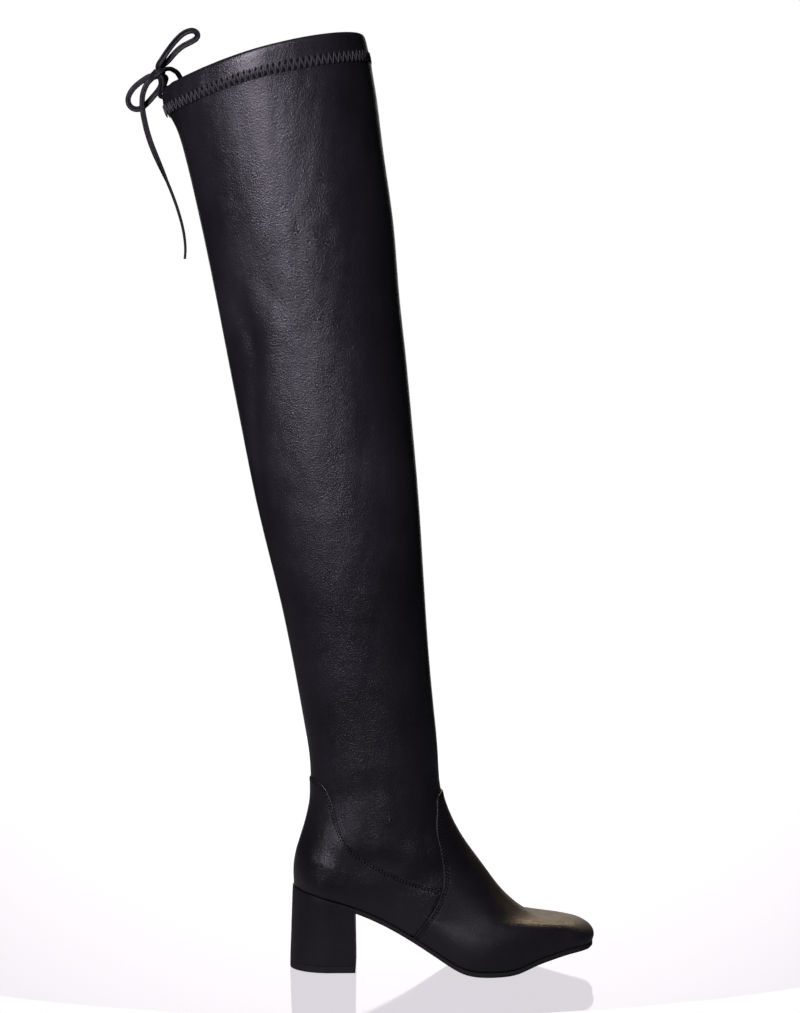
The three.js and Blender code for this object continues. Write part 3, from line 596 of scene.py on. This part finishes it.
class BOOT_OT_drawstring(bpy.types.Operator):
    """Two folded strings tied in a bow at the back of the collar"""

    bl_idname = "boot.drawstring"
    bl_label = "Drawstring"

    def execute(self, context):
        look = context.scene.boot_drawstring
        knot = knot_piece(look)
        near_route = [
            *mm(STRAND_NEAR), *at_knot((0.4, -1.6, -0.6), (-2.6, -0.4, 0)),
            *mm(LOOP_LOWER), *at_knot((1.0, -0.6, -1.4), (-1.2, -2.0, 0)), *mm(END_NEAR),
        ]
        far_route = [
            *mm(STRAND_FAR), *at_knot((1.6, 0.6, 0.8), (0.3, -1.6, 3.0)), *mm(LOOP_UPPER),
            *at_knot((0.5, 2.0, 1.8), (1.4, 1.5, 0.2), (2.8, 1.2, 0.1), (3.9, 1.0, 1.4)), *mm(END_FAR),
        ]
        near, near_line = string_piece(
            "drawstring_near", near_route,
            [(0, 60), (0.05, 20), (0.08, 0), (0.22, 25), (0.3, 0), (0.42, 10), (0.5, 25), (0.6, 0), (0.66, 10),
             (0.76, 75), (1, 80)],
            look, [(0, 1, 1), (0.9, 1, 1), (1, 0.9, 0.9)],
            ["lace_strand_near", "bow_loop_lower", "lace_end_near"],
        )
        far, far_line = string_piece(
            "drawstring_far", far_route,
            [(0, 60), (0.1, 30), (0.14, 0), (0.2, 20), (0.3, 0), (0.38, 10), (0.45, 70), (0.52, 30), (0.7, 70),
             (1, 60)],
            look, [(0, 1, 1), (1, 1, 1)],
            ["lace_strand_far", "bow_loop_upper", "lace_end_far"],
        )
        return {"FINISHED"}


def knot_piece(look):
    """The bow's knot: a soft core with two turns of the string round it."""
    core = bmesh.new()
    bmesh.ops.create_uvsphere(core, u_segments=20, v_segments=12, radius=1)
    bmesh.ops.scale(core, vec=Vector((3.7, 3.4, 4.2)) * MM, verts=core.verts)
    bmesh.ops.translate(core, vec=KNOT, verts=core.verts)
    settle(core)
    for tilt, sizes, width, shift in ((-38, (4.5, 3.6), 1.02, (0.2, 0, 0.4)), (42, (4.3, 3.0), 0.9, (-0.6, 0, -0.9))):
        spin = Quaternion((0, 1, 0), math.radians(tilt))
        stations = []
        for k in range(36):
            a = 2 * math.pi * k / 36
            out = Vector((math.cos(a) * sizes[0], math.sin(a) * sizes[1], 0)) * MM
            normal = Vector((math.cos(a) / sizes[0], math.sin(a) / sizes[1], 0)).normalized()
            point = KNOT + Vector(shift) * MM + spin @ out
            across = spin @ Vector((0, 0, 1)) * (look.width / 2 * width)
            stations.append((point, across, spin @ normal * (look.thickness / 2)))
        wrap = mesh_of(carried(stations, STRING_OUTLINE, ends=False), "wrap")
        core.from_mesh(wrap)
        bpy.data.meshes.remove(wrap)
    leather = material_of("drawstring_leather", string_material, look)
    return add_piece(core, "bow_knot_leather", [leather], ["bow_knot"])


# Upper

SLOTS = [mm([(-124.8, -8.7, 709.1), (-128.9, -10.2, 709.9)]), mm([(-117.6, 23.5, 711), (-122.5, 27.3, 711.3)])]
SHARP = math.radians(50)


def nearest_on(start, end, point):
    way = end - start
    return start + way * min(1, max(0, (point - start).dot(way) / way.length_squared))


def spread(start, same):
    """All faces reached from start over edges for which same is true."""
    found, todo = {start}, [start]
    while todo:
        for loop in todo.pop().loops:
            other = loop.link_loop_radial_next.face
            if other not in found and same(loop.edge):
                found.add(other)
                todo.append(other)
    return found


def upper_cage():
    """The upper's solid as four-sided faces, without the drawstring's slots, with its two sides told apart."""
    bm = cad_copy("upper")
    crease = bm.edges.layers.float.new("crease_edge")
    part = bm.faces.layers.int.new("part")
    slot_verts = [v for v in bm.verts if min((nearest_on(*s, v.co) - v.co).length for s in SLOTS) < 3 * MM]
    bmesh.ops.dissolve_verts(bm, verts=slot_verts)
    on_side = [f for f in bm.faces if abs(f.calc_center_median().z - 0.45) < 0.02 and len(f.verts) == 3]
    outside = min(on_side, key=lambda f: f.calc_center_median().y)
    four_sided(bm, outside)
    bm.normal_update()
    on_side = [f for f in bm.faces if abs(f.calc_center_median().z - 0.45) < 0.03 and len(f.verts) == 4]
    near_side = sorted(on_side, key=lambda f: f.calc_center_median().y)[:6]
    inside = next(f for f in near_side if f.normal.y > 0.5)
    outside = next(f for f in near_side if f.normal.y < -0.5)
    smooth = lambda edge: edge.is_manifold and edge.calc_face_angle(0) < SHARP
    inner, outer = spread(inside, smooth), spread(outside, smooth)
    for face in bm.faces:
        face.material_index = LINING_FACE if face in inner else LEATHER_FACE
        face[part] = 1 if face in outer else 2 if face in inner else 0
    for edge in bm.edges:
        if edge.calc_face_angle(0) > SHARP and max(v.co.z for v in edge.verts) < 0.2:
            edge[crease] = 0.85
    return bm


def hit(tree, origin, way):
    place, normal, _, _ = tree.ray_cast(origin, way)
    if place is None:
        raise RuntimeError("a fold lies beside the boot")
    return place, normal


def side_hit(tree, x, z, side):
    """The leather's point and normal at a point of the side view, on the near or the far side."""
    return hit(tree, Vector((x * MM, side * 0.3, z * MM)), Vector((0, -side, 0)))


def fold_field(tree, points, depth_scale):
    """How far each point moves for the folds."""
    moved = np.zeros_like(points)
    for x, z, side, turn, long, wide, depth in FOLDS:
        centre, normal = side_hit(tree, x, z, side)
        along = Vector((math.sin(math.radians(turn)), 0, math.cos(math.radians(turn))))
        moved += soft_dent(points, centre, normal, along, long, wide, depth * depth_scale)
    for angle, up, long, wide, depth in HEM_PUCKERS:
        centre, normal = hem_point(tree, angle, up)
        moved += soft_dent(points, centre, normal, UP, long, wide, depth * depth_scale)
    return moved + long_fold_field(tree, points, depth_scale)


def soft_dent(points, centre, normal, along, long, wide, depth):
    """How far each point moves for one dent at centre that runs along the leather."""
    along = (along - normal * along.dot(normal)).normalized()
    away = points - np.array(centre)
    across = normal.cross(along)
    u, v, w = (away @ np.array(axis) / MM for axis in (along, across, normal))
    weight = np.exp(-0.5 * (u / long) ** 2 - 0.5 * (v / wide) ** 2 - (w / 28) ** 4)
    return -depth * MM * weight[:, None] * np.array(normal)


def long_fold_field(tree, points, depth_scale):
    """The long trough behind the calf, with a soft swell on each side."""
    line = [side_hit(tree, x, z, NEAR) for x, z in LONG_FOLD]
    centres = np.array([tuple(p) for p in smooth_line([c for c, _ in line], 4 * MM)])
    normals = np.array([tuple(n) for n in smooth_line([n for _, n in line], 0.01)])
    share = np.linspace(0, 1, len(centres))
    normals = np.column_stack([np.interp(share, np.linspace(0, 1, len(normals)), normals[:, k]) for k in range(3)])
    line = kd_tree(centres)
    moved = np.zeros_like(points)
    for i in np.nonzero((points[:, 1] < 0) & (points[:, 2] > 0.25) & (points[:, 2] < 0.62))[0]:
        _, nearest, far = line.find(points[i])
        d = far / MM
        if d > 45:
            continue
        s = share[nearest]
        fade = math.sin(math.pi * min(1, max(0, 0.06 + 0.94 * s))) ** 0.6
        trough = math.exp(-0.5 * (d / LONG_FOLD_WIDTH) ** 2)
        swell = math.exp(-0.5 * ((d - 15) / 9) ** 2)
        moved[i] = normals[nearest] * (-LONG_FOLD_DEPTH * trough + 0.5 * swell) * fade * depth_scale * MM
    return moved


def hem_point(tree, angle, above):
    """The leather's point and normal at an angle round the hem, in degrees from the back, above its lower edge."""
    forward = Vector((math.cos(HEM_TILT), 0, math.sin(HEM_TILT)))
    up = Vector((-math.sin(HEM_TILT), 0, math.cos(HEM_TILT)))
    middle = HEM_BACK * MM + forward * (HEM_MIDDLE * MM)
    turn = math.radians(angle)
    way = -forward * math.cos(turn) + Vector((0, 1, 0)) * math.sin(turn)
    arch = HEM_ARCH * math.sin(turn) ** 2
    return hit(tree, middle + up * ((above + arch) * MM) + way * 0.3, -way)


class BOOT_OT_upper(bpy.types.Operator):
    """Shaft and foot lining: one hollow wall of soft leather with its folds and gathered hem"""

    bl_idname = "boot.upper"
    bl_label = "Upper"

    def execute(self, context):
        scene = context.scene
        bm = smooth_surface(upper_cage(), "upper_leather")
        part = bm.faces.layers.int["part"]
        long_edges = [
            e for e in bm.edges
            if e.calc_length() > 5.5 * MM and abs((e.verts[0].co - e.verts[1].co).normalized().z) > 0.75
            and any(f[part] == 1 for f in e.link_faces)
        ]
        bmesh.ops.subdivide_edges(bm, edges=long_edges, cuts=1, use_grid_fill=True, smooth=0)
        tree = BVHTree.FromBMesh(bm)
        points = np.array([tuple(v.co) for v in bm.verts])
        moved = points + fold_field(tree, points, scene.boot_leather.fold_depth)
        for v, place in zip(bm.verts, moved):
            v.co = place
        bm.normal_update()
        add_piece(
            bm, "upper_leather",
            [upper_material(), material_of("lining", lining_material, scene.boot_bottom.lining)], ["upper"],
        )
        return {"FINISHED"}


def upper_material():
    return material_of("boot_leather", leather_material, bpy.context.scene.boot_leather)


# Vamp and counter

def seam_curve(seam, at, value):
    """Reads a rounded seam as a function, where at and value number its two columns."""
    line = sorted(smooth_line([Vector((x, z, 0)) for x, z in seam], 1.5), key=lambda p: p[at])
    known, gives = [p[at] for p in line], [p[value] for p in line]
    return lambda x: float(np.interp(x, known, gives))


def fields():
    """The vamp's and counter's regions in the side view: more than 0 inside, in mm."""
    seam_x, seam_z = seam_curve(VAMP_SEAM, 1, 0), seam_curve(COUNTER_SEAM, 0, 1)
    top = VAMP_SEAM[0][1]
    vamp = lambda p: min(p.x / MM - seam_x(p.z / MM), top - p.z / MM)
    counter = lambda p: min(seam_z(p.x / MM) - p.z / MM, seam_x(p.z / MM) - 0.25 - p.x / MM)
    return {"vamp": vamp, "counter": counter}


def cut(bm, value, level):
    """Cuts faces along value = level and returns the points on it."""
    off = {v: value(v.co) - level for v in bm.verts}
    on = {v for v, d in off.items() if abs(d) < 0.02}
    for edge in list(bm.edges):
        a, b = edge.verts
        if a in on or b in on or off[a] * off[b] >= 0:
            continue
        _, made = bmesh.utils.edge_split(edge, a, off[a] / (off[a] - off[b]))
        on.add(made)
    bm.verts.index_update()
    bmesh.ops.connect_verts(bm, verts=sorted(on, key=lambda v: v.index))
    return on


def chains(edges):
    """Orders edges into lines of points, closed or open."""
    near = {}
    for edge in edges:
        for v in edge.verts:
            near.setdefault(v, []).append(edge.other_vert(v))
    lines, used = [], set()
    for start in sorted(near, key=lambda v: len(near[v])):
        if start in used:
            continue
        line = [start]
        used.add(start)
        while (v := next((w for w in near[line[-1]] if w not in used), None)) is not None:
            line.append(v)
            used.add(v)
        if len(near[start]) == 2 and start in near[line[-1]]:
            line.append(start)
        if len(line) > 3:
            lines.append([w.co.copy() for w in line])
    return lines


STITCH_ROWS = {"vamp": (2.2, 3.9), "counter": (1.4, 3.2)}  # mm from the seam
OVERLAY_TOP = 0.175  # m, above both overlays
THICKEST = 1.2  # an overlay's greatest thickness against its height


def edge_profile(rows):
    """The overlay's height along its edge: a folded bead, and a pressed line under each row of stitches.
    Pairs of mm from the seam and a share of the height."""
    profile = [(0.0, 0.25), (0.25, 0.8), (0.7, 1.14)]
    for row in rows:
        profile += [(row - 0.6, 1.05), (row, 0.8), (row + 0.7, 1.0)]
    return profile + [(9.0, 1.0)]


def overlay(name, value, slot, height, over):
    """A thin leather overlay on the upper where value is above 0, with a beaded, stitched edge.
    over: more than 0 where another overlay covers this one, so that its edge is plain there."""
    bm = bmesh_of(bpy.data.objects["upper_leather"].data)
    part = bm.faces.layers.int["part"]
    unwanted = [f for f in bm.faces if f[part] != 1 or min(v.co.z for v in f.verts) > OVERLAY_TOP]
    bmesh.ops.delete(bm, geom=unwanted, context="FACES")
    on = cut(bm, value, 0)
    outside = [f for f in bm.faces if value(f.calc_center_median()) < 0]
    bmesh.ops.delete(bm, geom=outside, context="FACES")
    on = {v for v in on if v.is_valid}
    seam = [e for e in bm.edges if e.is_boundary and all(v in on for v in e.verts)]
    lines = chains(seam)
    dense = [p for line in lines for p in even_steps(line, 0.3 * MM) if over(p) < -0.6]
    tree = kd_tree(dense)
    distance = lambda p: tree.find(p)[2] / MM
    profile, rows = edge_profile(STITCH_ROWS[slot]), []
    for level, _ in profile[1:-1]:
        points = cut(bm, distance, level)
        if level in STITCH_ROWS[slot]:
            rows += chains([e for e in bm.edges if all(v in points for v in e.verts)])
    bmesh.ops.remove_doubles(bm, verts=bm.verts, dist=0.1 * MM)
    bm.normal_update()
    known, shares = zip(*profile)
    deform = bm.verts.layers.deform.verify()
    for v in bm.verts:
        v[deform][0] = float(np.interp(distance(v.co), known, shares)) / THICKEST
        v.co += v.normal * (0.15 * MM)
    for face in bm.faces:
        face.material_index = 0
    skin = BVHTree.FromBMesh(bm)
    work = object_of(mesh_of(bm, name), name)
    work.vertex_groups.new(name="height")
    solid = work.modifiers.new("height", "SOLIDIFY")
    solid.thickness = height * THICKEST
    solid.offset = 1
    solid.vertex_group = "height"
    mesh = baked(work)
    look = bpy.context.scene.boot_leather
    soft = material_of("vamp_leather", leather_material, look, 0.5, -0.12) if slot == "vamp" else upper_material()
    add_piece(mesh, name, [soft], [slot])
    return skin, tree_of(mesh), rows


def tree_of(mesh):
    """A tree for finding the nearest point of a mesh and where a ray meets it."""
    bm = bmesh_of(mesh)
    tree = BVHTree.FromBMesh(bm)
    bm.free()
    return tree


def add_grains(bm, long, thick, matrices, number):
    """Adds a small grain to bm at each matrix. number: which material its faces have."""
    grain = bmesh.new()
    bmesh.ops.create_uvsphere(grain, u_segments=6, v_segments=4, radius=0.5)
    bmesh.ops.rotate(grain, matrix=Matrix.Rotation(math.pi / 2, 3, "Y"), verts=grain.verts)
    bmesh.ops.scale(grain, vec=(long, thick, thick), verts=grain.verts)
    settle(grain)
    template = mesh_of(grain, "grain")
    faces = len(bm.faces)
    for matrix in matrices:
        verts = len(bm.verts)
        bm.from_mesh(template)
        bm.verts.ensure_lookup_table()
        bmesh.ops.transform(bm, matrix=matrix, verts=bm.verts[verts:])
    bpy.data.meshes.remove(template)
    bm.faces.ensure_lookup_table()
    for face in bm.faces[faces:]:
        face.material_index = number


def seated(point, along, out):
    """The placing of a template whose x axis runs along and whose z axis points out."""
    side = out.cross(along).normalized()
    ahead = side.cross(out).normalized()
    return Matrix.Translation(point) @ Matrix((ahead, side, out)).transposed().to_4x4()


class BOOT_OT_overlays(bpy.types.Operator):
    """Vamp and counter overlays with their beaded edges and two rows of stitches"""

    bl_idname = "boot.overlays"
    bl_label = "Vamp and counter"

    def execute(self, context):
        look = context.scene.boot_overlay
        stitches, seats, painted_hole_shades = bmesh.new(), [], []
        regions = fields()
        for name, value in regions.items():
            height = look.height * (1.15 if name == "vamp" else 0.9)
            over = regions["vamp"] if name == "counter" else lambda p: -1
            skin, surface, lines = overlay(f"{name}_leather", value, name, height, over)
            for line in lines:
                points = even_steps(line, look.stitch_length)
                for a, b in zip(points, points[1:]):
                    # Each stitch: a thread grain between its ends, and at its start a flat, nearly black grain of
                    # painted shade for the needle hole.
                    for spot, found, lift in (((a + b) / 2, seats, 0.02), (a, painted_hole_shades, 0.12)):
                        middle, out, _, _ = skin.find_nearest(spot)
                        place, _, _, _ = surface.ray_cast(middle + out * (4 * MM), -out)
                        found.append(seated((place or middle) + out * (lift * MM), b - a, out))
        add_grains(stitches, look.stitch_length * 0.62, 0.6 * MM, seats, 0)
        # Painted shade: flattened, nearly black grains in the needle holes, with the second material.
        flat = Matrix.Diagonal((1, 1, 0.5, 1))
        add_grains(stitches, 1.3 * MM, 1.5 * MM, [seat @ flat for seat in painted_hole_shades], 1)
        thread = material_of("seam_thread", thread_material, look.thread)
        add_piece(stitches, "seam_stitches", [thread, material_of("needle_pit", painted_shade_material)])
        return {"FINISHED"}


class BOOT_OT_hem_stitch(bpy.types.Operator):
    """Zigzag stitch over the lower edge of the collar's hem"""

    bl_idname = "boot.hem_stitch"
    bl_label = "Hem stitch"

    def execute(self, context):
        look = context.scene.boot_hem
        tree = tree_of(bpy.data.objects["upper_leather"].data)
        ring = [hem_point(tree, a, -0.5)[0] for a in range(-180, 181, 3)]
        run = np.concatenate([[0], np.cumsum([(b - a).length for a, b in zip(ring, ring[1:])])])
        count = 2 * round(run[-1] / look.stitch_pitch)
        angles = np.interp(np.linspace(0, run[-1], count + 1), run, np.linspace(-180, 180, len(run)))
        half = look.stitch_height / 2 / MM
        corners = [hem_point(tree, a, -0.5 + (half if i % 2 else -half)) for i, a in enumerate(angles)]
        threads, painted_gap_shades = [], []
        for (a, out_a), (b, out_b) in zip(corners, corners[1:]):
            out = (out_a + out_b).normalized()
            place, _, _, _ = tree.ray_cast((a + b) / 2 + out * (3 * MM), -out)
            stretch = Matrix.Diagonal(((b - a).length * 1.05, 1, 1, 1))
            threads.append(seated((place or (a + b) / 2) + out * (0.2 * MM), b - a, out) @ stretch)
        # Painted shade: flat, nearly black grains in the gaps between the zigzag's strokes, in turn below and above
        # its middle.
        for i, angle in enumerate(angles[:-1]):
            place, out = hem_point(tree, angle, -0.5 + (-half if i % 2 else half) * 0.62)
            rise = UP - out * UP.dot(out)
            painted_gap_shades.append(seated(place + out * (0.05 * MM), rise, out))
        stitches = bmesh.new()
        add_grains(stitches, 1.0, look.thread_width, threads, 0)
        wide = Matrix.Diagonal((1, look.stitch_pitch * 0.42, 0.6 * MM, 1))
        add_grains(stitches, look.stitch_height * 0.42, 1.0, [seat @ wide for seat in painted_gap_shades], 1)
        thread = material_of("hem_thread", thread_material, look.thread, 0.5)
        add_piece(stitches, "hem_stitches", [thread, material_of("hem_pit", painted_shade_material, 3.5)])
        return {"FINISHED"}


# Bottom

EDGE = math.radians(32)  # a bottom piece's faces meet in an edge where they turn by more


def bevelled(node, width):
    """A smooth copy of a rigid CAD piece with its sharp edges rounded."""
    bm = cad_copy(node)
    crease = bm.edges.layers.float.new("crease_edge")
    bmesh.ops.dissolve_limit(bm, angle_limit=math.radians(0.5), verts=bm.verts, edges=bm.edges)
    three_sided = [f for f in bm.faces if len(f.verts) == 3]
    bmesh.ops.join_triangles(
        bm, faces=three_sided, angle_face_threshold=math.radians(25), angle_shape_threshold=math.radians(60)
    )
    for edge in bm.edges:
        if edge.is_manifold and edge.calc_face_angle(0) > EDGE:
            edge[crease] = 1.0
    bm = smooth_surface(bm, node)
    sharp = [e for e in bm.edges if e.is_manifold and e.calc_face_angle(0) > EDGE]
    bmesh.ops.bevel(
        bm, geom=sharp, offset=width, offset_type="OFFSET", segments=3, profile=0.5, affect="EDGES", material=-1,
        clamp_overlap=True,
    )
    return bm


class BOOT_OT_bottom(bpy.types.Operator):
    """Outsole, covered heel, top piece and the insole inside"""

    bl_idname = "boot.bottom"
    bl_label = "Sole and heel"

    def execute(self, context):
        look = context.scene.boot_bottom
        rubber = material_of("sole_rubber", rubber_material, look.rubber, 900.0)
        cover = material_of("heel_leather", leather_material, context.scene.boot_leather, 0.35, -0.14)
        sock = material_of("sock", lining_material, look.lining)
        for node, name, slot, material, width in (
            ("outsole", "outsole_rubber", "sole_rubber", rubber, look.edge_round),
            ("heel_top_piece", "heel_top_piece_rubber", "sole_rubber", rubber, 0.0005),
            ("heel", "heel_cover_leather", "heel_cover", cover, look.edge_round),
            ("insole", "insole_sock", "sock", sock, 0.0006),
        ):
            add_piece(bevelled(node, width), name, [material], [node])
        return {"FINISHED"}


# Studio

FLOOR_MIDDLE = (0.04, 0.54, -0.0003)  # a little below the sole, so that the two don't share a plane
CAMERA_PLACE = (0.0634, -2.0, 0.500)
CAMERA_DOWN = 3.46  # degrees below the horizon


def area_light(name, place, aim, size, power, colour, spread, spared):
    """A soft light. spread: width of its beam in degrees. spared: an object that it doesn't light."""
    data = bpy.data.lights.new(name, "AREA")
    data.spread = math.radians(spread)
    data.shape = "RECTANGLE"
    data.size, data.size_y = size
    data.energy = power
    data.color = colour
    lamp = object_of(data, name)
    lamp.location = place
    lamp.rotation_euler = (Vector(aim) - Vector(place)).to_track_quat("-Z", "Y").to_euler()
    group = bpy.data.collections.new(f"spared_by_{name}")
    group.objects.link(spared)
    group.collection_objects[0].light_linking.link_state = "EXCLUDE"
    lamp.light_linking.receiver_collection = group


def studio_world():
    """White for the camera, and for everything else a soft room that is bright behind and dim in front."""
    world = bpy.data.worlds.new("studio")
    bpy.context.scene.world = world
    world.use_nodes = True
    tree = world.node_tree
    tree.nodes.clear()
    way = new_node(tree, "TexCoord").outputs["Generated"]
    parts = new_node(tree, "SeparateXYZ", links={0: way})
    behind = ramp(tree, parts.outputs["Y"], 0.0, 1.0, 0.93, 0.99)
    room = colours(tree, behind, (0.012, 0.012, 0.013), (1.62, 1.6, 1.5))
    lit = new_node(tree, "Background", links={"Color": room})
    seen = new_node(tree, "Background", {"Color": (1, 1, 1, 1)})
    rays = new_node(tree, "LightPath").outputs["Is Camera Ray"]
    mixed = new_node(tree, "MixShader", links={0: rays, 1: lit.outputs[0], 2: seen.outputs[0]})
    new_node(tree, "OutputWorld", links={"Surface": mixed.outputs[0]})


class BOOT_OT_studio(bpy.types.Operator):
    """Pale floor, soft lights and the camera at the boot's side"""

    bl_idname = "boot.studio"
    bl_label = "Studio"

    def execute(self, context):
        look = context.scene.boot_studio
        context.scene.view_settings.view_transform = "Standard"
        bm = bmesh.new()
        bmesh.ops.create_circle(bm, cap_ends=True, segments=96, radius=look.floor_radius)
        bmesh.ops.translate(bm, vec=FLOOR_MIDDLE, verts=bm.verts)
        floor = object_of(mesh_of(bm, "floor"), "floor")
        floor.data.materials.append(floor_material("pale_floor", 0.98, look.mirror))
        studio_world()
        area_light(
            "softbox", (-0.60, -1.45, 1.20), (-0.06, 0, 0.70), (0.40, 0.9), look.softbox, (0.93, 0.85, 1.0), 64, floor
        )
        area_light("toe_light", (0.27, 0.55, 0.62), (0.15, 0, 0.06), (0.45, 0.3), 0.24, (1.0, 0.76, 0.50), 30, floor)
        data = bpy.data.cameras.new("camera")
        data.lens = look.lens
        camera = object_of(data, "camera")
        camera.location = CAMERA_PLACE
        camera.rotation_euler = (math.radians(90 - CAMERA_DOWN), 0, 0)
        context.scene.camera = camera
        return {"FINISHED"}


GROUPS = {
    "boot_leather": BootLeather, "boot_overlay": BootOverlay, "boot_hem": BootHem,
    "boot_drawstring": BootDrawstring, "boot_bottom": BootBottom, "boot_studio": BootStudio,
}
OPERATORS = [
    BOOT_OT_studio, BOOT_OT_drawstring, BOOT_OT_upper, BOOT_OT_overlays, BOOT_OT_hem_stitch, BOOT_OT_bottom,
]


class BOOT_PT_boot(bpy.types.Panel):
    """The boot's pieces and their sizes"""

    bl_idname = "BOOT_PT_boot"
    bl_label = "Boot"
    bl_space_type = "VIEW_3D"
    bl_region_type = "UI"
    bl_category = "Boot"

    def draw(self, context):
        layout = self.layout
        for operator in OPERATORS:
            layout.operator(operator.bl_idname)
        for name, group in GROUPS.items():
            box = layout.box()
            box.label(text=name.replace("boot_", "").capitalize())
            for prop in group.__annotations__:
                box.prop(getattr(context.scene, name), prop)


def register():
    for item in [*GROUPS.values(), *OPERATORS, BOOT_PT_boot]:
        bpy.utils.register_class(item)
    for name, group in GROUPS.items():
        setattr(bpy.types.Scene, name, bpy.props.PointerProperty(type=group))


def unregister():
    for name in GROUPS:
        delattr(bpy.types.Scene, name)
    for item in [BOOT_PT_boot, *reversed(OPERATORS), *reversed(GROUPS.values())]:
        bpy.utils.unregister_class(item)


def main():
    register()
    bpy.ops.boot.studio()
    bpy.ops.boot.drawstring()
    bpy.ops.boot.upper()
    bpy.ops.boot.overlays()
    bpy.ops.boot.hem_stitch()
    bpy.ops.boot.bottom()


if __name__ == "__main__":
    main()
